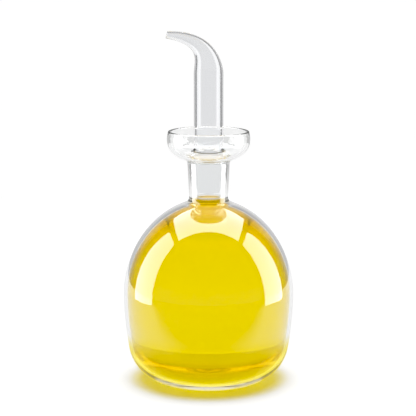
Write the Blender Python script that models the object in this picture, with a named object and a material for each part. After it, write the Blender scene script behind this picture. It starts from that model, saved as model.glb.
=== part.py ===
"""Drip-free pouring cruet of blown borosilicate glass, filled with oil.

The bottle is three blown blanks fused in the flame: a globe with a flat base, a tapered ground
socket and an open drip cup.  The stopper is two more: a hollow ground plug and a bent spout.
Metres, +Z up.  The origin is the centre of the resting face, and the spout pours towards -X.
"""

import math

import bmesh
import bpy
from mathutils import Vector

# ---- globe -------------------------------------------------------------------------------
BODY_RADIUS = 0.0490          # widest outside radius
EQUATOR_HEIGHT = 0.0503       # height of the widest ring above the table
CROWN_RISE = 0.0552           # from the widest ring to where the dome would close on the axis
DOME_FULLNESS = 1.94          # 2 is an ellipse, less is more pointed
SIDE_BULGE_RADIUS = 0.1700    # long arc of the wall below the widest ring
BASE_CORNER_RADIUS = 0.0223   # arc that turns the wall under to the flat base
WALL_SIDE = 0.0018            # glass thickness at the widest ring
WALL_CROWN = 0.0027           # glass thickness at the top of the dome
WALL_BASE = 0.0030            # glass thickness of the flat base

# ---- ground joint ------------------------------------------------------------------------
JOINT_TAPER = 0.1             # loss of diameter for each unit of length
PLUG_TOP_RADIUS = 0.0103      # large end of the ground plug, at its sharp collar edge
PLUG_LENGTH = 0.0255          # from the collar edge to the open lower end
PLUG_WALL = 0.0016
PLUG_END_ABOVE_SEAM = 0.0010  # open end of the plug above the fused seam of globe and socket
JOINT_CLEARANCE = 0.0003      # radial gap between plug and socket

# ---- socket and cup ----------------------------------------------------------------------
STUB_RISE = 0.00214           # fused seam of globe and socket above the foot of the neck
SOCKET_LENGTH = 0.0228        # from that seam to the mouth in the floor of the cup
SOCKET_WALL = 0.0017
STUB_FILLET = 0.0015          # hollow round where the dome turns up into the neck
CUP_RADIUS = 0.0236           # widest outside radius of the drip cup
CUP_WIDEST_ABOVE_MOUTH = 0.0121
CUP_BOWL_DEPTH = 0.0140       # from the widest ring down to where the bowl would close
CUP_BOWL_FULLNESS = 2.5
CUP_RIM_RISE = 0.0037         # rim above the widest ring
CUP_RIM_LEAN = 0.0005         # how far the rim leans in
CUP_WALL = 0.0015

# ---- spout -------------------------------------------------------------------------------
SPOUT_RADIUS = 0.00835        # straight tube
SPOUT_WALL = 0.0014
TIP_RADIUS = 0.00215
TIP_WALL = 0.0009
SPOUT_BEND_START = 0.0439     # straight run above the collar edge
SPOUT_TIP_RISE = 0.0661       # centre of the tip above the collar edge
SPOUT_REACH = 0.0231          # from the bottle's axis to the centre of the tip
TIP_LEAN = math.radians(15)   # the cut end leans back from upright
BACK_HANDLES = (0.0033, 0.0290)    # how far the back of the bend runs on up, then sideways
THROAT_HANDLES = (0.0077, 0.0207)  # the same for the inside of the bend
BACK_TIP_SLOPE = math.radians(-1)
THROAT_TIP_SLOPE = math.radians(10)
FOOT_HEIGHT = 0.0022          # flare from the tube out to the collar edge
FOOT_SHARPNESS = 2.2          # higher is a quicker flare

# ---- oil and seams -----------------------------------------------------------------------
SEAM_GAP = 0.0003             # left between pieces that touch
OIL_BELOW_PLUG = 0.0006       # surface of the oil under the open end of the plug

TURNED_STEPS = 48
TUBE_STEPS = 32
BEND_STEPS = 12


def dome_height(radius):
    """Height of the outside of the dome where it has that radius."""
    share = (1 - (radius / BODY_RADIUS) ** DOME_FULLNESS) ** (1 / DOME_FULLNESS)
    return EQUATOR_HEIGHT + CROWN_RISE * share


NECK_ROOT_RADIUS = (PLUG_TOP_RADIUS + JOINT_CLEARANCE + SOCKET_WALL
                    - (PLUG_LENGTH + PLUG_END_ABOVE_SEAM) * JOINT_TAPER / 2)
SEAM_HEIGHT = dome_height(NECK_ROOT_RADIUS + STUB_FILLET) + STUB_RISE
PLUG_END_HEIGHT = SEAM_HEIGHT + PLUG_END_ABOVE_SEAM
COLLAR_HEIGHT = PLUG_END_HEIGHT + PLUG_LENGTH
MOUTH_HEIGHT = SEAM_HEIGHT + SOCKET_LENGTH
CUP_WIDEST_HEIGHT = MOUTH_HEIGHT + CUP_WIDEST_ABOVE_MOUTH
STUB_TOP = SEAM_HEIGHT - SEAM_GAP


def plug_radius(z):
    """Outside radius of the ground plug at a height."""
    return PLUG_TOP_RADIUS - (COLLAR_HEIGHT - z) * JOINT_TAPER / 2


def bore_radius(z):
    """Radius of the ground socket at a height."""
    return plug_radius(z) + JOINT_CLEARANCE


def neck_radius(z):
    """Outside radius of the socket at a height."""
    return bore_radius(z) + SOCKET_WALL


# ---- outlines: lists of (radius, height) ---------------------------------------------------
def arc(centre_r, centre_z, radius, start, end, steps):
    """Points along a circular arc, both ends included, angles in radians."""
    turns = [start + (end - start) * i / steps for i in range(steps + 1)]
    return [(centre_r + radius * math.cos(a), centre_z + radius * math.sin(a)) for a in turns]


def full_curve(across, rise, fullness, inner_radius, steps):
    """A quarter superellipse, from its widest point in to inner_radius."""
    last = math.acos((inner_radius / across) ** (fullness / 2))
    points = []
    for i in range(steps + 1):
        a = last * i / steps
        points.append((across * math.cos(a) ** (2 / fullness), rise * math.sin(a) ** (2 / fullness)))
    return points


def globe_wall(inset, crown_inset, base_inset):
    """The globe's section from the axis at the base up to the widest ring."""
    corner = BASE_CORNER_RADIUS - base_inset
    side = SIDE_BULGE_RADIUS - inset
    radius = BODY_RADIUS - inset
    side_centre = radius - side
    drop = EQUATOR_HEIGHT - (base_inset + corner)
    corner_centre = side_centre + math.sqrt((side - corner) ** 2 - drop ** 2)
    meet = -math.asin(drop / (side - corner))
    points = [(0.0, base_inset)]
    points += arc(corner_centre, base_inset + corner, corner, -math.pi / 2, meet, 6)
    points += arc(side_centre, EQUATOR_HEIGHT, side, meet, 0.0, 3)[1:]
    return points, (radius, CROWN_RISE - crown_inset)


def globe_section(inset, crown_inset, base_inset, neck, neck_top, fillet):
    """Whole section of one skin of the globe, turned up into a neck of the given radius."""
    points, (radius, rise) = globe_wall(inset, crown_inset, base_inset)
    start = neck + fillet
    dome = full_curve(radius, rise, DOME_FULLNESS, start, 9)
    points += [(r, EQUATOR_HEIGHT + z) for r, z in dome[1:]]
    shoulder = EQUATOR_HEIGHT + dome[-1][1]
    room = min(fillet, neck_top - shoulder)
    for i in range(1, 4):
        a = math.pi / 2 * i / 3
        points.append((start - fillet * math.sin(a), shoulder + room * (1 - math.cos(a))))
    if neck_top - shoulder > room:
        points.append((neck, neck_top))
    return points


def cup_skin(inset, inner_radius):
    """One skin of the cup's bowl, from the widest ring in to inner_radius."""
    bowl = full_curve(CUP_RADIUS - inset, CUP_BOWL_DEPTH - inset, CUP_BOWL_FULLNESS, inner_radius, 8)
    return [(r, CUP_WIDEST_HEIGHT - z) for r, z in bowl]


# ---- meshes --------------------------------------------------------------------------------
def glass(name, colour, roughness):
    """A clear Principled material."""
    material = bpy.data.materials.new(name)
    material.use_nodes = True
    shader = material.node_tree.nodes["Principled BSDF"]
    shader.inputs["Base Color"].default_value = (*colour, 1.0)
    shader.inputs["Roughness"].default_value = roughness
    shader.inputs["Metallic"].default_value = 0.0
    shader.inputs["Transmission Weight"].default_value = 0.9
    shader.inputs["IOR"].default_value = 1.47
    material.diffuse_color = (*colour, 1.0)
    return material


def add_object(name, work, material):
    """Turn a bmesh into a smooth, named object with its own material."""
    bmesh.ops.recalc_face_normals(work, faces=work.faces)
    mesh = bpy.data.meshes.new(name)
    work.to_mesh(mesh)
    work.free()
    mesh.shade_smooth()
    mesh.set_sharp_from_angle(angle=math.radians(35))
    mesh.materials.append(material)
    item = bpy.data.objects.new(name, mesh)
    bpy.context.scene.collection.objects.link(item)
    return item


def turned(name, section, closed, material):
    """Spin a section of (radius, height) points about the bottle's axis."""
    work = bmesh.new()
    ring = [work.verts.new((r, 0.0, z)) for r, z in section]
    pairs = list(zip(ring, ring[1:]))
    if closed:
        pairs.append((ring[-1], ring[0]))
    edges = [work.edges.new(pair) for pair in pairs]
    bmesh.ops.spin(work, geom=ring + edges, cent=(0, 0, 0), axis=(0, 0, 1),
                   angle=math.tau, steps=TURNED_STEPS, use_merge=True)
    bmesh.ops.remove_doubles(work, verts=work.verts, dist=1e-6)
    return add_object(name, work, material)


def make_globe():
    """Blown globe: flat base, domed shoulder and the stub that the socket is fused to."""
    outer_neck = neck_radius(SEAM_HEIGHT)
    inner_neck = bore_radius(SEAM_HEIGHT)
    outside = globe_section(0.0, 0.0, 0.0, outer_neck, STUB_TOP, STUB_FILLET)
    inside = globe_section(WALL_SIDE, WALL_CROWN, WALL_BASE, inner_neck, STUB_TOP, STUB_FILLET)
    section = outside + inside[::-1]
    return turned("globe_body", section, False, glass("globe_glass", (0.90, 0.93, 0.92), 0.03))


def make_oil():
    """The fill: it follows the inside of the globe up into the stub, under the plug."""
    level = PLUG_END_HEIGHT - OIL_BELOW_PLUG
    neck = bore_radius(SEAM_HEIGHT) - SEAM_GAP
    skin = globe_section(WALL_SIDE + SEAM_GAP, WALL_CROWN + SEAM_GAP, WALL_BASE + SEAM_GAP,
                         neck, level, STUB_FILLET + SEAM_GAP)
    section = skin + [(0.0, level)]
    return turned("oil_fill", section, False, glass("oil", (0.86, 0.70, 0.02), 0.05))


def make_socket():
    """Ground female cone between the globe and the floor of the cup."""
    section = [(neck_radius(z), z) for z in (MOUTH_HEIGHT, SEAM_HEIGHT)]
    section += [(bore_radius(z), z) for z in (SEAM_HEIGHT, MOUTH_HEIGHT)]
    return turned("neck_socket", section, True, glass("socket_glass", (0.86, 0.89, 0.89), 0.06))


def make_cup():
    """Open bowl that catches drips; its floor falls to the mouth of the socket."""
    hole = neck_radius(MOUTH_HEIGHT) + SEAM_GAP
    rim_z = CUP_WIDEST_HEIGHT + CUP_RIM_RISE
    lip = CUP_WALL / 2
    rim_r = CUP_RADIUS - CUP_RIM_LEAN - lip
    outside = cup_skin(0.0, hole)
    inside = cup_skin(CUP_WALL, hole)
    rim = arc(rim_r, rim_z - lip, lip, math.pi, 0.0, 4)
    section = inside[::-1] + rim + outside
    return turned("drip_cup", section, True, glass("cup_glass", (0.90, 0.92, 0.92), 0.03))


def make_plug():
    """Hollow ground male cone, open at its lower end, with a sharp collar edge on top."""
    top = COLLAR_HEIGHT
    end = PLUG_END_HEIGHT
    lip = PLUG_WALL / 4
    section = [(plug_radius(top), top), (plug_radius(end + lip), end + lip),
               (plug_radius(end) - lip, end), (plug_radius(end) - PLUG_WALL + lip, end),
               (plug_radius(end + lip) - PLUG_WALL, end + lip), (plug_radius(top) - PLUG_WALL, top)]
    return turned("stopper_plug", section, True, glass("plug_glass", (0.86, 0.89, 0.89), 0.06))


def foot_flare(height, tube, collar):
    """Radius of the spout's foot at a height above its seam."""
    fall = max(0.0, 1 - height / FOOT_HEIGHT)
    return tube + (collar - tube) * fall ** FOOT_SHARPNESS


def bend_edge(side, handles, slope):
    """Control points of the back (side 1) or the throat (side -1) of the bend, in the XZ plane."""
    start = Vector((side * SPOUT_RADIUS, 0, COLLAR_HEIGHT + SPOUT_BEND_START))
    face = Vector((math.sin(TIP_LEAN), 0, math.cos(TIP_LEAN)))
    tip = Vector((-SPOUT_REACH, 0, COLLAR_HEIGHT + SPOUT_TIP_RISE)) + face * side * TIP_RADIUS
    along = Vector((-math.cos(slope), 0, math.sin(slope)))
    return start, start + Vector((0, 0, handles[0])), tip - along * handles[1], tip


def on_curve(points, t):
    """Point of a cubic Bezier curve."""
    s = 1 - t
    a, b, c, d = points
    return a * s ** 3 + b * 3 * s * s * t + c * 3 * s * t * t + d * t ** 3


def spout_stations():
    """Centre, in-plane spoke, outer and inner radius along the spout, from its foot to its tip."""
    seam = COLLAR_HEIGHT + SEAM_GAP
    stations = []
    for share in (0.0, 0.17, 0.38, 0.65, 1.0):
        height = FOOT_HEIGHT * share
        outer = foot_flare(height, SPOUT_RADIUS, PLUG_TOP_RADIUS)
        inner = foot_flare(height, SPOUT_RADIUS - SPOUT_WALL, PLUG_TOP_RADIUS - PLUG_WALL)
        stations.append((Vector((0, 0, seam + height)), Vector((1, 0, 0)), outer, inner))
    back = bend_edge(1, BACK_HANDLES, BACK_TIP_SLOPE)
    throat = bend_edge(-1, THROAT_HANDLES, THROAT_TIP_SLOPE)
    for i in range(BEND_STEPS + 1):
        t = i / BEND_STEPS
        top = on_curve(back, t)
        under = on_curve(throat, t)
        outer = (top - under).length / 2
        wall = SPOUT_WALL + (TIP_WALL - SPOUT_WALL) * t
        stations.append(((top + under) / 2, (top - under).normalized(), outer, outer - wall))
    return stations


def make_spout():
    """Drawn and bent tube with a flared foot; its own origin is where it turns on the plug."""
    origin = Vector((0, 0, COLLAR_HEIGHT))
    stations = spout_stations()
    walk = [(c, spoke, outer) for c, spoke, outer, inner in stations]
    walk += [(c, spoke, inner) for c, spoke, outer, inner in reversed(stations)]
    across = Vector((0, 1, 0))
    work = bmesh.new()
    rings = []
    for centre, spoke, radius in walk:
        ring = []
        for k in range(TUBE_STEPS):
            a = math.tau * k / TUBE_STEPS
            reach = spoke * math.cos(a) + across * math.sin(a)
            ring.append(work.verts.new(centre - origin + reach * radius))
        rings.append(ring)
    for lower, upper in zip(rings, rings[1:] + rings[:1]):
        for k in range(TUBE_STEPS):
            j = (k + 1) % TUBE_STEPS
            work.faces.new((lower[k], lower[j], upper[j], upper[k]))
    item = add_object("pouring_spout", work, glass("spout_glass", (0.90, 0.92, 0.92), 0.03))
    item.location = origin
    return item


def clear_scene():
    for item in list(bpy.data.objects):
        bpy.data.objects.remove(item)


clear_scene()
make_globe()
make_socket()
make_cup()
make_oil()
plug = make_plug()
spout = make_spout()
stopper_axis = bpy.data.objects.new("stopper_axis", None)
stopper_axis.location = (0.0, 0.0, COLLAR_HEIGHT)
bpy.context.scene.collection.objects.link(stopper_axis)
bpy.context.view_layer.update()
for piece in (plug, spout):
    placed = piece.matrix_world.copy()
    piece.parent = stopper_axis
    piece.matrix_world = placed
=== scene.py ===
"""Looks for a drip-free oil cruet of clear blown glass, standing full on a white table.

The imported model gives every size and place.  Metres, +Z up, the spout pours towards -X.
"""

import math

import bmesh
import bpy
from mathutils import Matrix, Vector


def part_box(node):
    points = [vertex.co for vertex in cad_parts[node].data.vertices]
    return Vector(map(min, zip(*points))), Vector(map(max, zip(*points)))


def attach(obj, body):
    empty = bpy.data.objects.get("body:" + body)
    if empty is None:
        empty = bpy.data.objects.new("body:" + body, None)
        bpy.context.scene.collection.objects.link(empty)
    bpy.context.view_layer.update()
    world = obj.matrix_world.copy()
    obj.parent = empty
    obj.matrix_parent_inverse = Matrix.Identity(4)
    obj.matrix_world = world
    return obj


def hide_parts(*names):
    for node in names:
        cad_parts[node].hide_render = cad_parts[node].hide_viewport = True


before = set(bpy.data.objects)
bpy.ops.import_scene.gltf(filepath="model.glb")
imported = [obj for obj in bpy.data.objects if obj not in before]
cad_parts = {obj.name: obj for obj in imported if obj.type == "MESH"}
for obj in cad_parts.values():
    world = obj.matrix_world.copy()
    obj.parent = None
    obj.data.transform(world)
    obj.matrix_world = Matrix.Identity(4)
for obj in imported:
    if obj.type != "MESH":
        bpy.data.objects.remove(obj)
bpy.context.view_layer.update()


# ---- the bottle ------------------------------------------------------------------------------
# One blown borosilicate bottle: a globe pressed flat at its base, a tapered neck ground inside
# for the stopper, and an open drip cup.  The three blanks are melted together, so the seams
# show only as soft rounds, and the rim of the cup is fire polished.
GLOBE_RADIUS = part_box("globe_body")[1].x
EQUATOR_HEIGHT = 0.0503
CROWN_RISE = 0.0552
DOME_FULLNESS = 1.94
SIDE_BULGE_RADIUS = 0.1700
BASE_CORNER_RADIUS = 0.0223
WALL_SIDE = 0.0018
WALL_CROWN = 0.0027
WALL_BASE = 0.0030
SEAM_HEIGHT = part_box("neck_socket")[0].z
MOUTH_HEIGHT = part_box("neck_socket")[1].z
NECK_TOP_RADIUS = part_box("neck_socket")[1].x
SOCKET_WALL = 0.0017
JOINT_TAPER = 0.1
CUP_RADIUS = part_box("drip_cup")[1].x
CUP_RIM_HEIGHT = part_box("drip_cup")[1].z
CUP_WIDEST_HEIGHT = CUP_RIM_HEIGHT - 0.0037
CUP_BOWL_DEPTH = 0.0140
CUP_BOWL_FULLNESS = 2.5
CUP_RIM_LEAN = 0.0005
CUP_WALL = 0.0015
SHOULDER_ROUND = 0.0032
CUP_ROOT_ROUND = 0.0016
MOUTH_ROUND = 0.0009
TURNED_STEPS = 192
BASE_STEPS = 6
CORNER_STEPS = 28
SIDE_STEPS = 24
DOME_STEPS = 60
CUP_STEPS = 44
RIM_STEPS = 16
NECK_STEPS = 20
MERGE_DISTANCE = 1e-6
GLASS_IOR = 1.47
RIPPLE_STRETCH = (1.0, 1.0, 0.45)
BOTTLE_TINT = (0.985, 0.990, 0.988)
BOTTLE_WAVES_PER_METRE = 30.0
BOTTLE_WAVE_HEIGHT = 0.00002


def neck_radius(z):
    """Outside radius of the tapered neck at a height."""
    return NECK_TOP_RADIUS - (MOUTH_HEIGHT - z) * JOINT_TAPER / 2


def bore_radius(z):
    """Radius of the ground bore at a height."""
    return neck_radius(z) - SOCKET_WALL


def arc(centre_r, centre_z, radius, start, end, steps):
    """Points of a circular arc in a section, both ends included."""
    turns = [start + (end - start) * i / steps for i in range(steps + 1)]
    return [(centre_r + radius * math.cos(a), centre_z + radius * math.sin(a)) for a in turns]


def bowl(across, rise, fullness, inner_radius, steps):
    """A quarter superellipse, from its widest point in to inner_radius."""
    last = math.acos((inner_radius / across) ** (fullness / 2))
    turns = [last * i / steps for i in range(steps + 1)]
    power = 2 / fullness
    return [(across * math.cos(a) ** power, rise * math.sin(a) ** power) for a in turns]


def straight(start, end, steps):
    """Evenly spaced points from start to end."""
    return [tuple(a + (b - a) * i / steps for a, b in zip(start, end)) for i in range(steps + 1)]


def trimmed(line, length):
    """The line with that length taken off its end."""
    line = [Vector(p) for p in line]
    while len(line) > 2 and (line[-1] - line[-2]).length <= length:
        length -= (line[-1] - line[-2]).length
        line.pop()
    line[-1] = line[-1] + (line[-2] - line[-1]).normalized() * length
    return [tuple(p) for p in line]


def melted(first, second, reach, steps=8):
    """Two lines of a section joined by a soft round in place of the corner where they meet."""
    corner = Vector(second[0])
    before = trimmed(first, reach)
    after = trimmed(second[::-1], reach)[::-1]
    a = Vector(before[-1])
    b = Vector(after[0])
    between = []
    for i in range(1, steps):
        t = i / steps
        between.append(tuple(a * (1 - t) ** 2 + corner * 2 * t * (1 - t) + b * t * t))
    return before + between + after


def globe_line(inset, crown_inset, base_inset, top_radius):
    """The globe's section from the axis at the base up to where the dome has top_radius."""
    corner = BASE_CORNER_RADIUS - base_inset
    side = SIDE_BULGE_RADIUS - inset
    radius = GLOBE_RADIUS - inset
    drop = EQUATOR_HEIGHT - base_inset - corner
    side_centre = radius - side
    corner_centre = side_centre + math.sqrt((side - corner) ** 2 - drop ** 2)
    meet = -math.asin(drop / (side - corner))
    line = straight((0.0, base_inset), (corner_centre, base_inset), BASE_STEPS)
    line += arc(corner_centre, base_inset + corner, corner,
                -math.pi / 2, meet, CORNER_STEPS)[1:]
    line += arc(side_centre, EQUATOR_HEIGHT, side, meet, 0.0, SIDE_STEPS)[1:]
    dome = bowl(radius, CROWN_RISE - crown_inset, DOME_FULLNESS, top_radius, DOME_STEPS)
    return line + [(r, EQUATOR_HEIGHT + z) for r, z in dome[1:]]


def cup_line(inset, inner_radius):
    """One side of the cup's bowl, from inner_radius out to the widest ring."""
    line = bowl(CUP_RADIUS - inset, CUP_BOWL_DEPTH - inset, CUP_BOWL_FULLNESS,
                inner_radius, CUP_STEPS)
    return [(r, CUP_WIDEST_HEIGHT - z) for r, z in line[::-1]]


def turned(name, section, closed):
    """A smooth mesh turned about the bottle's axis from a section of (radius, height) points."""
    work = bmesh.new()
    line = [work.verts.new((r, 0.0, z)) for r, z in section]
    pairs = list(zip(line, line[1:]))
    if closed:
        pairs.append((line[-1], line[0]))
    edges = [work.edges.new(pair) for pair in pairs]
    bmesh.ops.spin(work, geom=line + edges, cent=(0, 0, 0), axis=(0, 0, 1),
                   angle=math.tau, steps=TURNED_STEPS, use_merge=True)
    bmesh.ops.remove_doubles(work, verts=work.verts, dist=MERGE_DISTANCE)
    bmesh.ops.recalc_face_normals(work, faces=work.faces)
    mesh = bpy.data.meshes.new(name)
    work.to_mesh(mesh)
    work.free()
    mesh.shade_smooth()
    item = bpy.data.objects.new(name, mesh)
    bpy.context.scene.collection.objects.link(item)
    return item


def blown_ripple_group():
    """Slow waves that blowing and turning in the flame leave in a glass wall."""
    group = bpy.data.node_groups.new("blown_ripple", "ShaderNodeTree")
    group.interface.new_socket("Scale", in_out="INPUT", socket_type="NodeSocketFloat")
    group.interface.new_socket("Height", in_out="OUTPUT", socket_type="NodeSocketFloat")
    put = group.nodes.new
    join = group.links.new
    inside = put("NodeGroupInput")
    outside = put("NodeGroupOutput")
    place = put("ShaderNodeTexCoord")
    spread = put("ShaderNodeMapping")
    spread.inputs["Scale"].default_value = RIPPLE_STRETCH
    waves = put("ShaderNodeTexNoise")
    waves.inputs["Detail"].default_value = 1.0
    join(place.outputs["Object"], spread.inputs["Vector"])
    join(spread.outputs["Vector"], waves.inputs["Vector"])
    join(inside.outputs["Scale"], waves.inputs["Scale"])
    join(waves.outputs["Fac"], outside.inputs["Height"])
    return group


def clear_glass(name, tint, waves_per_metre, wave_height):
    """Clear borosilicate, polished, with the given tint and ripple."""
    material = bpy.data.materials.new(name)
    material.use_nodes = True
    nodes = material.node_tree.nodes
    shader = nodes["Principled BSDF"]
    shader.inputs["Base Color"].default_value = (*tint, 1.0)
    shader.inputs["Roughness"].default_value = 0.0
    shader.inputs["IOR"].default_value = GLASS_IOR
    shader.inputs["Transmission Weight"].default_value = 1.0
    ripple = nodes.new("ShaderNodeGroup")
    ripple.node_tree = blown_ripple
    ripple.inputs["Scale"].default_value = waves_per_metre
    bump = nodes.new("ShaderNodeBump")
    bump.inputs["Distance"].default_value = wave_height
    bump.inputs["Strength"].default_value = 1.0
    material.node_tree.links.new(ripple.outputs["Height"], bump.inputs["Height"])
    material.node_tree.links.new(bump.outputs["Normal"], shader.inputs["Normal"])
    return material


blown_ripple = blown_ripple_group()

rim_lip = CUP_WALL / 2
rim_r = CUP_RADIUS - CUP_RIM_LEAN - rim_lip
neck_root = neck_radius(SEAM_HEIGHT)
bore_root = bore_radius(SEAM_HEIGHT)
neck_head = neck_radius(MOUTH_HEIGHT)
bore_head = bore_radius(MOUTH_HEIGHT)

outer_globe = globe_line(0.0, 0.0, 0.0, neck_root)
outer_cup = cup_line(0.0, neck_head)
outer_neck = straight(outer_globe[-1], outer_cup[0], NECK_STEPS)
rim = arc(rim_r, CUP_RIM_HEIGHT - rim_lip, rim_lip, 0.0, math.pi, RIM_STEPS)
inner_cup = cup_line(CUP_WALL, bore_head)[::-1]
inner_globe = globe_line(WALL_SIDE, WALL_CROWN, WALL_BASE, bore_root)[::-1]
bore = straight(inner_cup[-1], inner_globe[0], NECK_STEPS)

skin = melted(outer_globe, outer_neck, SHOULDER_ROUND)
skin = melted(skin, outer_cup, CUP_ROOT_ROUND)
skin += rim
lining = melted(inner_cup, bore, MOUTH_ROUND)
lining = melted(lining, inner_globe, SHOULDER_ROUND)
bottle = turned("bottle_glass", skin + lining, False)
bottle_glass = clear_glass("bottle_glass_clear", BOTTLE_TINT,
                           BOTTLE_WAVES_PER_METRE, BOTTLE_WAVE_HEIGHT)
bottle.data.materials.append(bottle_glass)
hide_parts("globe_body", "neck_socket", "drip_cup")
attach(bottle, "bottle")


# ---- the oil ---------------------------------------------------------------------------------
# Olive oil filled up into the neck, to just under the plug.  It takes the shape of the inside
# of the globe, a hair clear of the glass, and creeps up at its edge in a small meniscus.
OIL_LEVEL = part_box("oil_fill")[1].z
OIL_GAP = 0.0003
MENISCUS_RISE = 0.0004
MENISCUS_FULLNESS = 4
SURFACE_STEPS = 16
OIL_NECK_STEPS = 4
OIL_TINT = (0.87, 0.67, 0.002, 1.0)
OIL_IOR = 1.467
OIL_DEPTH_COLOUR = (0.999, 0.996, 0.6, 1.0)
OIL_DEPTH_DENSITY = 60.0

oil_neck = bore_root - OIL_GAP
oil_globe = globe_line(WALL_SIDE + OIL_GAP, WALL_CROWN + OIL_GAP, WALL_BASE + OIL_GAP, oil_neck)
oil_rise = straight(oil_globe[-1], (oil_neck, OIL_LEVEL), OIL_NECK_STEPS)
surface = []
for step in range(1, SURFACE_STEPS + 1):
    share = 1 - step / SURFACE_STEPS
    dip = MENISCUS_RISE * (1 - share ** MENISCUS_FULLNESS)
    surface.append((oil_neck * share, OIL_LEVEL - dip))
oil = turned("olive_oil", melted(oil_globe, oil_rise, SHOULDER_ROUND) + surface, False)


def oil_material():
    """Clear yellow oil: mostly a tint, deepened a little by the blue light it takes up."""
    material = bpy.data.materials.new("olive_oil_clear")
    material.use_nodes = True
    nodes = material.node_tree.nodes
    shader = nodes["Principled BSDF"]
    shader.inputs["Base Color"].default_value = OIL_TINT
    shader.inputs["Roughness"].default_value = 0.0
    shader.inputs["IOR"].default_value = OIL_IOR
    shader.inputs["Transmission Weight"].default_value = 1.0
    depth = nodes.new("ShaderNodeVolumeAbsorption")
    depth.inputs["Color"].default_value = OIL_DEPTH_COLOUR
    depth.inputs["Density"].default_value = OIL_DEPTH_DENSITY
    volume = nodes["Material Output"].inputs["Volume"]
    material.node_tree.links.new(depth.outputs["Volume"], volume)
    return material


oil.data.materials.append(oil_material())
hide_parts("oil_fill")
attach(oil, "bottle")


# ---- the plug --------------------------------------------------------------------------------
# The male half of the ground joint: a hollow cone, open below, whose upper edge is left sharp
# where the spout is melted on.
PLUG_WALL = 0.0016
PLUG_LIP = 0.0005
COLLAR_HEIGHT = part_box("stopper_plug")[1].z
PLUG_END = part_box("stopper_plug")[0].z
COLLAR_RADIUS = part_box("stopper_plug")[1].x
SEAM = 0.00002
PLUG_STEPS = 24
PLUG_END_STEPS = 4
SHARP_EDGE = math.radians(40)
PLUG_TINT = (0.97, 0.975, 0.98)
STOPPER_WAVES_PER_METRE = 60.0
PLUG_WAVE_HEIGHT = 0.00001

plug_end_radius = COLLAR_RADIUS - (COLLAR_HEIGHT - PLUG_END) * JOINT_TAPER / 2
outer_plug = straight((COLLAR_RADIUS, COLLAR_HEIGHT), (plug_end_radius, PLUG_END), PLUG_STEPS)
plug_foot = straight((plug_end_radius, PLUG_END),
                     (plug_end_radius - PLUG_WALL, PLUG_END), PLUG_END_STEPS)
inner_plug = straight((plug_end_radius - PLUG_WALL, PLUG_END),
                      (COLLAR_RADIUS - PLUG_WALL, COLLAR_HEIGHT), PLUG_STEPS)
plug_section = melted(melted(outer_plug, plug_foot, PLUG_LIP), inner_plug, PLUG_LIP)
plug = turned("plug_glass", plug_section, True)
plug.data.set_sharp_from_angle(angle=SHARP_EDGE)
plug_glass = clear_glass("plug_glass_clear", PLUG_TINT,
                         STOPPER_WAVES_PER_METRE, PLUG_WAVE_HEIGHT)
plug.data.materials.append(plug_glass)
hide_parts("stopper_plug")
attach(plug, "plug")


# ---- the spout -------------------------------------------------------------------------------
# Drawn tube, bent in the flame towards one side and pulled out to a narrow tip, which is cut
# and fire polished.  Its foot is flared out to the collar edge of the plug.
SPOUT_RADIUS = 0.00835
SPOUT_WALL = 0.0014
TIP_RADIUS = 0.00215
TIP_WALL = 0.0009
SPOUT_BEND_START = 0.0439
SPOUT_TIP_RISE = 0.0661
SPOUT_REACH = 0.0231
TIP_LEAN = math.radians(15)
BACK_HANDLES = (0.0033, 0.0290)
THROAT_HANDLES = (0.0077, 0.0207)
BACK_TIP_SLOPE = math.radians(-1)
THROAT_TIP_SLOPE = math.radians(10)
FOOT_HEIGHT = 0.0022
FOOT_SHARPNESS = 2.2
FOOT_STEPS = 12
FOOT_CROWDING = 1.5
STEM_STEPS = 20
BEND_STEPS = 100
LIP_STEPS = 8
TUBE_STEPS = 160
SPOUT_TINT = (0.97, 0.975, 0.985)
SPOUT_WAVE_HEIGHT = 0.000002


def foot_flare(height, tube, collar):
    """Radius of the flared foot at a height above the seam."""
    return tube + (collar - tube) * max(0.0, 1 - height / FOOT_HEIGHT) ** FOOT_SHARPNESS


def bend_edge(side, handles, slope):
    """Control points of the back (side 1) or the throat (side -1) of the bend."""
    start = Vector((side * SPOUT_RADIUS, 0, COLLAR_HEIGHT + SPOUT_BEND_START))
    face = Vector((math.sin(TIP_LEAN), 0, math.cos(TIP_LEAN)))
    tip = Vector((-SPOUT_REACH, 0, COLLAR_HEIGHT + SPOUT_TIP_RISE)) + face * side * TIP_RADIUS
    along = Vector((-math.cos(slope), 0, math.sin(slope)))
    return start, start + Vector((0, 0, handles[0])), tip - along * handles[1], tip


def on_curve(points, t):
    """Point of a cubic Bezier curve."""
    s = 1 - t
    a, b, c, d = points
    return a * s ** 3 + b * 3 * s * s * t + c * 3 * s * t * t + d * t ** 3


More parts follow.
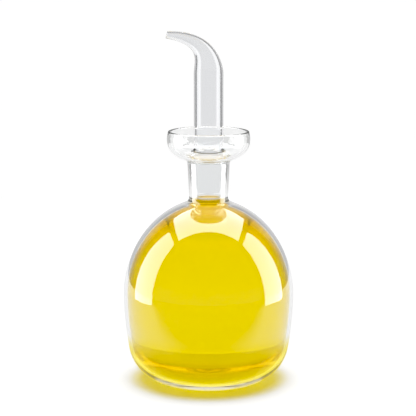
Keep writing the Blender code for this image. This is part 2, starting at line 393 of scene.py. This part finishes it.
def spout_stations():
    """Centre, spoke in the plane of the bend, outer and inner radius, from foot to tip."""
    seam = COLLAR_HEIGHT + SEAM
    stations = []
    for i in range(FOOT_STEPS + 1):
        height = FOOT_HEIGHT * (i / FOOT_STEPS) ** FOOT_CROWDING
        outer = foot_flare(height, SPOUT_RADIUS, COLLAR_RADIUS)
        inner = foot_flare(height, SPOUT_RADIUS - SPOUT_WALL, COLLAR_RADIUS - PLUG_WALL)
        stations.append((Vector((0, 0, seam + height)), Vector((1, 0, 0)), outer, inner))
    for i in range(1, STEM_STEPS):
        height = FOOT_HEIGHT + (SPOUT_BEND_START - FOOT_HEIGHT) * i / STEM_STEPS
        stations.append((Vector((0, 0, seam + height)), Vector((1, 0, 0)),
                         SPOUT_RADIUS, SPOUT_RADIUS - SPOUT_WALL))
    back = bend_edge(1, BACK_HANDLES, BACK_TIP_SLOPE)
    throat = bend_edge(-1, THROAT_HANDLES, THROAT_TIP_SLOPE)
    for i in range(BEND_STEPS + 1):
        t = i / BEND_STEPS
        top = on_curve(back, t)
        under = on_curve(throat, t)
        outer = (top - under).length / 2
        wall = SPOUT_WALL + (TIP_WALL - SPOUT_WALL) * t
        stations.append(((top + under) / 2, (top - under).normalized(), outer, outer - wall))
    return stations


def tube_mesh(name, stations):
    """Hollow tube through the stations, with a rounded lip at its last one."""
    walk = [(centre, spoke, outer) for centre, spoke, outer, inner in stations]
    centre, spoke, outer, inner = stations[-1]
    onward = (centre - stations[-2][0]).normalized()
    lip = (outer - inner) / 2
    for i in range(1, LIP_STEPS):
        a = math.pi * i / LIP_STEPS
        walk.append((centre + onward * lip * math.sin(a), spoke, inner + lip + lip * math.cos(a)))
    walk += [(centre, spoke, inner) for centre, spoke, outer, inner in reversed(stations)]
    across = Vector((0, 1, 0))
    work = bmesh.new()
    rings = []
    for centre, spoke, radius in walk:
        ring = []
        for k in range(TUBE_STEPS):
            a = math.tau * k / TUBE_STEPS
            outward = spoke * math.cos(a) + across * math.sin(a)
            ring.append(work.verts.new(centre + outward * radius))
        rings.append(ring)
    for lower, upper in zip(rings, rings[1:] + rings[:1]):
        for k in range(TUBE_STEPS):
            j = (k + 1) % TUBE_STEPS
            work.faces.new((lower[k], lower[j], upper[j], upper[k]))
    bmesh.ops.recalc_face_normals(work, faces=work.faces)
    mesh = bpy.data.meshes.new(name)
    work.to_mesh(mesh)
    work.free()
    mesh.shade_smooth()
    mesh.set_sharp_from_angle(angle=SHARP_EDGE)
    item = bpy.data.objects.new(name, mesh)
    bpy.context.scene.collection.objects.link(item)
    return item


spout = tube_mesh("spout_glass", spout_stations())
spout_glass = clear_glass("spout_glass_clear", SPOUT_TINT,
                          STOPPER_WAVES_PER_METRE, SPOUT_WAVE_HEIGHT)
spout.data.materials.append(spout_glass)
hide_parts("pouring_spout")
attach(spout, "spout")


# ---- the table -------------------------------------------------------------------------------
# A round white table top, a hair below the flat base.  It glows though it is no lamp: painted
# light, brighter away from the bottle, so that it runs into the background, and a painted yellow
# pool of light under it, as the oil would light it.  In reflections and through one wall of glass
# its front is painted black, a painted dark reflection.
TABLE_RADIUS = 0.65
TABLE_EDGES = 128
TABLE_DROP = 0.0003
TABLE_ROUGHNESS = 0.9
PAINT_SEEN = (0.92, 0.92, 0.92, 1.0)
# Painted shade: the same paint is darker to every ray but the camera's.
SHADED_PAINT_THROUGH_GLASS = (0.62, 0.62, 0.62, 1.0)
# Painted light: a yellow pool of light on the table under the bottle, as the oil would throw it,
# and white further out.  For rays other than the camera's the pool reaches further.
PAINTED_OIL_LIGHT = (1.0, 0.80, 0.02, 1.0)
PLAIN_LIGHT = (1.0, 1.0, 1.0, 1.0)
PAINTED_POOL_RADIUS = 0.037
PAINTED_POOL_END = 0.049
PAINTED_POOL_RADIUS_THROUGH_GLASS = 0.075
PAINTED_POOL_END_THROUGH_GLASS = 0.115
# Painted light: the table glows though it is no lamp.  To the camera the glow is weaker near the
# bottle; to other rays it is stronger under the bottle.
GLARE_RADIUS = 0.038
GLARE_END = 0.058
GLARE = 0.5
GLOW = 0.50
GLOW_THROUGH_GLASS = 0.75
UNDER_RADIUS = 0.08
UNDER_FULL = 0.05
UNDER_GLOW = 0.4
# Painted shade: the table's front is painted black in reflections and through few glass surfaces.
PAINTED_BLACK_STARTS = -0.055
PAINTED_BLACK_FULL = -0.11
PAINTED_BLACK_SURFACES = 3.5

work = bmesh.new()
bmesh.ops.create_circle(work, cap_ends=True, segments=TABLE_EDGES, radius=TABLE_RADIUS)
table_mesh = bpy.data.meshes.new("table")
work.to_mesh(table_mesh)
work.free()
table = bpy.data.objects.new("table", table_mesh)
table.location.z = -TABLE_DROP
bpy.context.scene.collection.objects.link(table)


def feed(tree, socket, value):
    """Give a socket a number, or join it to the output of another node."""
    if isinstance(value, (int, float)):
        socket.default_value = value
    else:
        tree.links.new(value, socket)


def worked_out(tree, operation, *values):
    """The result of a math node."""
    node = tree.nodes.new("ShaderNodeMath")
    node.operation = operation
    for socket, value in zip(node.inputs, values):
        feed(tree, socket, value)
    return node.outputs[0]


def blend(tree, share, low, high):
    """A number that goes from low to high as its share goes from 0 to 1."""
    node = tree.nodes.new("ShaderNodeMix")
    node.data_type = "FLOAT"
    for name, value in zip(("Factor", "A", "B"), (share, low, high)):
        feed(tree, node.inputs[name], value)
    return node.outputs["Result"]


def tinted(tree, share, low, high):
    """A colour that goes from low to high as its share goes from 0 to 1."""
    node = tree.nodes.new("ShaderNodeMix")
    node.data_type = "RGBA"
    node.inputs["A"].default_value = low
    node.inputs["B"].default_value = high
    tree.links.new(share, node.inputs["Factor"])
    return node.outputs["Result"]


def rising(tree, value, start, end, level=1.0):
    """A number that goes smoothly from 0 at start to its level at end."""
    node = tree.nodes.new("ShaderNodeMapRange")
    node.interpolation_type = "SMOOTHSTEP"
    node.inputs["From Min"].default_value = start
    node.inputs["From Max"].default_value = end
    node.inputs["To Max"].default_value = level
    tree.links.new(value, node.inputs["Value"])
    return node.outputs["Result"]


def table_material():
    """Matt white that glows, with other levels for the camera than for every other ray: painted
    light and shade, with a painted yellow pool under the bottle and a front painted black.
    """
    material = bpy.data.materials.new("white_table")
    material.use_nodes = True
    tree = material.node_tree
    nodes = tree.nodes
    link = tree.links.new
    shader = nodes["Principled BSDF"]
    shader.inputs["Roughness"].default_value = TABLE_ROUGHNESS
    shader.inputs["Specular IOR Level"].default_value = 0.0
    path = nodes.new("ShaderNodeLightPath")
    seen = path.outputs["Is Camera Ray"]
    place = nodes.new("ShaderNodeTexCoord").outputs["Object"]
    length = nodes.new("ShaderNodeVectorMath")
    length.operation = "LENGTH"
    link(place, length.inputs[0])
    reach = length.outputs["Value"]

    # Painted shade: darker paint for every ray but the camera's.
    paint_and_shade = tinted(tree, seen, SHADED_PAINT_THROUGH_GLASS, PAINT_SEEN)
    link(paint_and_shade, shader.inputs["Base Color"])

    # Painted light: the glow is painted yellow under the bottle and white further out.
    whiter = blend(tree, seen,
                   rising(tree, reach, PAINTED_POOL_RADIUS_THROUGH_GLASS, PAINTED_POOL_END_THROUGH_GLASS),
                   rising(tree, reach, PAINTED_POOL_RADIUS, PAINTED_POOL_END))
    link(tinted(tree, whiter, PAINTED_OIL_LIGHT, PLAIN_LIGHT), shader.inputs["Emission Color"])

    # Painted light: a stronger glow under the bottle for other rays, and a glare for the camera
    # that fades out near the bottle.
    under = rising(tree, reach, UNDER_RADIUS, UNDER_FULL, UNDER_GLOW)
    glare = rising(tree, reach, GLARE_RADIUS, GLARE_END, GLARE)
    glow = blend(tree, seen,
                 worked_out(tree, "ADD", under, GLOW_THROUGH_GLASS),
                 worked_out(tree, "ADD", glare, GLOW))
    link(glow, shader.inputs["Emission Strength"])

    # Painted shade: for rays other than the camera's that passed few glass surfaces, the front of
    # the table is painted black, a painted dark reflection.
    across = nodes.new("ShaderNodeSeparateXYZ")
    link(place, across.inputs[0])
    painted_black = rising(tree, across.outputs["Y"], PAINTED_BLACK_STARTS, PAINTED_BLACK_FULL)
    few_surfaces = worked_out(tree, "LESS_THAN", path.outputs["Transmission Depth"], PAINTED_BLACK_SURFACES)
    painted_black_share = worked_out(tree, "MULTIPLY", painted_black, worked_out(tree, "SUBTRACT", few_surfaces, seen))
    black = nodes.new("ShaderNodeBsdfDiffuse")
    black.inputs["Color"].default_value = (0.0, 0.0, 0.0, 1.0)
    painted_black_mix = nodes.new("ShaderNodeMixShader")
    link(painted_black_share, painted_black_mix.inputs["Fac"])
    link(shader.outputs[0], painted_black_mix.inputs[1])
    link(black.outputs[0], painted_black_mix.inputs[2])
    link(painted_black_mix.outputs[0], nodes["Material Output"].inputs["Surface"])
    return material


table_mesh.materials.append(table_material())


# ---- light and camera ------------------------------------------------------------------------
# Two tall side softboxes and one overhead show only in reflections, and a second overhead lamp
# lights from above.  None of them lights the stopper.  The room is bright behind and dim in
# front, by a level that changes with how many glass surfaces have been passed.
SIDE_DISTANCE = 0.30
SIDE_BACK = 0.008
SIDE_HEIGHT = 0.20
SIDE_SIZE = (0.185, 0.40)
SIDE_RADIANCE = 7.2
OVERHEAD_PLACE = (0.0, 0.10, 0.42)
OVERHEAD_SIZE = (0.52, 0.36)
TOP_RADIANCE = 8.0
OVERHEAD_RADIANCE = 2.5

# Levels round the room, from straight behind (0) to straight in front (1), by surfaces passed.
OUTSIDE_LEVELS = ((0.10, 0.50), (0.17, 0.42), (0.25, 0.15), (0.33, 0.1), (0.45, 0.2))
EDGE_LEVELS = ((0.03, 1.0), (0.06, 0.65), (0.20, 0.6), (0.27, 0.15), (0.50, 0.15), (0.65, 0.4))
EDGE_SURFACES = 1.0
CLEAR_LEVELS = ((0.028, 0.87), (0.045, 1.3), (0.10, 1.25), (0.15, 0.5),
                (0.26, 0.3), (0.36, 0.3), (0.42, 0.6))
CLEAR_SURFACES = 3.0
DEEP_LEVEL = 0.92
DEEP_SURFACES = 5.0
# Levels up the room, from straight down (0) to straight up (1).
SKY_LEVELS = ((0.55, 1.0), (0.62, 0.8), (0.75, 0.5))
BACKGROUND_LEVEL = 1.13
LEAST_REACH = 1e-4

FILM_BLACK = 0.035
FILM_WHITE = 1.12
FILM_CURVE = ((0.45, 0.50), (0.73, 0.79))
GLASS_BOUNCES = 64
MATT_BOUNCES = 4
SENSOR_WIDTH = 36.0
FOCAL_LENGTH = 120.7
SIDE_SHIFT = -0.0014
CAMERA_PLACE = (0.0, -0.784, 0.23967)
CAMERA_LOOKS_DOWN = 10.107


def softbox(name, place, toward, size, radiance):
    """A rectangular lamp that the camera doesn't see; radiance is in units of the white room."""
    width, height = size
    lamp = bpy.data.lights.new(name, "AREA")
    lamp.shape = "RECTANGLE"
    lamp.size = width
    lamp.size_y = height
    lamp.energy = radiance * width * height * 4
    item = bpy.data.objects.new(name, lamp)
    item.location = place
    item.rotation_euler = Vector(toward).to_track_quat("-Z", "Y").to_euler()
    item.visible_camera = False
    bpy.context.scene.collection.objects.link(item)
    return item


reflected = []
for side in (-1, 1):
    name = "left_softbox" if side < 0 else "right_softbox"
    place = (side * SIDE_DISTANCE, SIDE_BACK, SIDE_HEIGHT)
    reflected.append(softbox(name, place, (-side, 0, 0), SIDE_SIZE, SIDE_RADIANCE))
reflected.append(softbox("top_softbox", OVERHEAD_PLACE, (0, 0, -1), OVERHEAD_SIZE, TOP_RADIANCE))
for item in reflected:
    item.visible_diffuse = False
    item.visible_transmission = False
overhead = softbox("overhead_light", OVERHEAD_PLACE, (0, 0, -1), OVERHEAD_SIZE, OVERHEAD_RADIANCE)
overhead.visible_glossy = False
lamp_lit = bpy.data.collections.new("lamp_lit")
for item in (bottle, oil, table):
    lamp_lit.objects.link(item)
for item in (*reflected, overhead):
    item.light_linking.receiver_collection = lamp_lit


def level_round(tree, value, levels):
    """Levels of grey that run smoothly from one stop to the next."""
    ramp = tree.nodes.new("ShaderNodeValToRGB")
    ramp.color_ramp.interpolation = "EASE"
    stops = ramp.color_ramp.elements
    stops.remove(stops[1])
    for number, (place, level) in enumerate(levels):
        stop = stops[0] if number == 0 else stops.new(place)
        stop.position = place
        stop.color = (level, level, level, 1.0)
    tree.links.new(value, ramp.inputs["Fac"])
    return ramp.outputs["Color"]


def room_world():
    """Bright behind, dim at the sides and in front; plain white to the camera."""
    world = bpy.data.worlds.new("white_room")
    world.use_nodes = True
    tree = world.node_tree
    nodes = tree.nodes
    link = tree.links.new
    nodes.clear()
    split = nodes.new("ShaderNodeSeparateXYZ")
    link(nodes.new("ShaderNodeTexCoord").outputs["Generated"], split.inputs[0])
    x, y, z = split.outputs
    squares = worked_out(tree, "ADD", worked_out(tree, "MULTIPLY", x, x),
                         worked_out(tree, "MULTIPLY", y, y))
    flat = worked_out(tree, "MAXIMUM", worked_out(tree, "SQRT", squares), LEAST_REACH)
    turn = worked_out(tree, "ARCCOSINE", worked_out(tree, "DIVIDE", y, flat))
    around = worked_out(tree, "DIVIDE", turn, math.pi)
    height = worked_out(tree, "MULTIPLY_ADD", z, 0.5, 0.5)
    path = nodes.new("ShaderNodeLightPath")
    surfaces = path.outputs["Transmission Depth"]
    level = level_round(tree, around, OUTSIDE_LEVELS)
    level = blend(tree, worked_out(tree, "GREATER_THAN", surfaces, EDGE_SURFACES),
                  level, level_round(tree, around, EDGE_LEVELS))
    level = blend(tree, worked_out(tree, "GREATER_THAN", surfaces, CLEAR_SURFACES),
                  level, level_round(tree, around, CLEAR_LEVELS))
    level = blend(tree, worked_out(tree, "GREATER_THAN", surfaces, DEEP_SURFACES),
                  level, DEEP_LEVEL)
    walls = worked_out(tree, "MULTIPLY", level, level_round(tree, height, SKY_LEVELS))
    room = nodes.new("ShaderNodeBackground")
    link(walls, room.inputs["Color"])
    plain = nodes.new("ShaderNodeBackground")
    plain.inputs["Color"].default_value = (1.0, 1.0, 1.0, 1.0)
    plain.inputs["Strength"].default_value = BACKGROUND_LEVEL
    pick = nodes.new("ShaderNodeMixShader")
    link(path.outputs["Is Camera Ray"], pick.inputs["Fac"])
    link(room.outputs[0], pick.inputs[1])
    link(plain.outputs[0], pick.inputs[2])
    out = nodes.new("ShaderNodeOutputWorld")
    link(pick.outputs[0], out.inputs["Surface"])
    return world


scene = bpy.context.scene
scene.world = room_world()
scene.view_settings.view_transform = "Standard"
scene.view_settings.use_curve_mapping = True
film = scene.view_settings.curve_mapping
film.black_level = (FILM_BLACK,) * 3
film.white_level = (FILM_WHITE,) * 3
for point in FILM_CURVE:
    film.curves[3].points.new(*point)
film.update()
scene.cycles.max_bounces = GLASS_BOUNCES
scene.cycles.transmission_bounces = GLASS_BOUNCES
scene.cycles.glossy_bounces = GLASS_BOUNCES
scene.cycles.diffuse_bounces = MATT_BOUNCES
scene.cycles.caustics_reflective = True
scene.cycles.caustics_refractive = True

lens = bpy.data.cameras.new("camera")
lens.sensor_width = SENSOR_WIDTH
lens.lens = FOCAL_LENGTH
lens.shift_x = SIDE_SHIFT
camera = bpy.data.objects.new("camera", lens)
camera.location = CAMERA_PLACE
camera.rotation_euler = (math.radians(90 - CAMERA_LOOKS_DOWN), 0.0, 0.0)
scene.collection.objects.link(camera)
scene.camera = camera

bpy.context.view_layer.update()
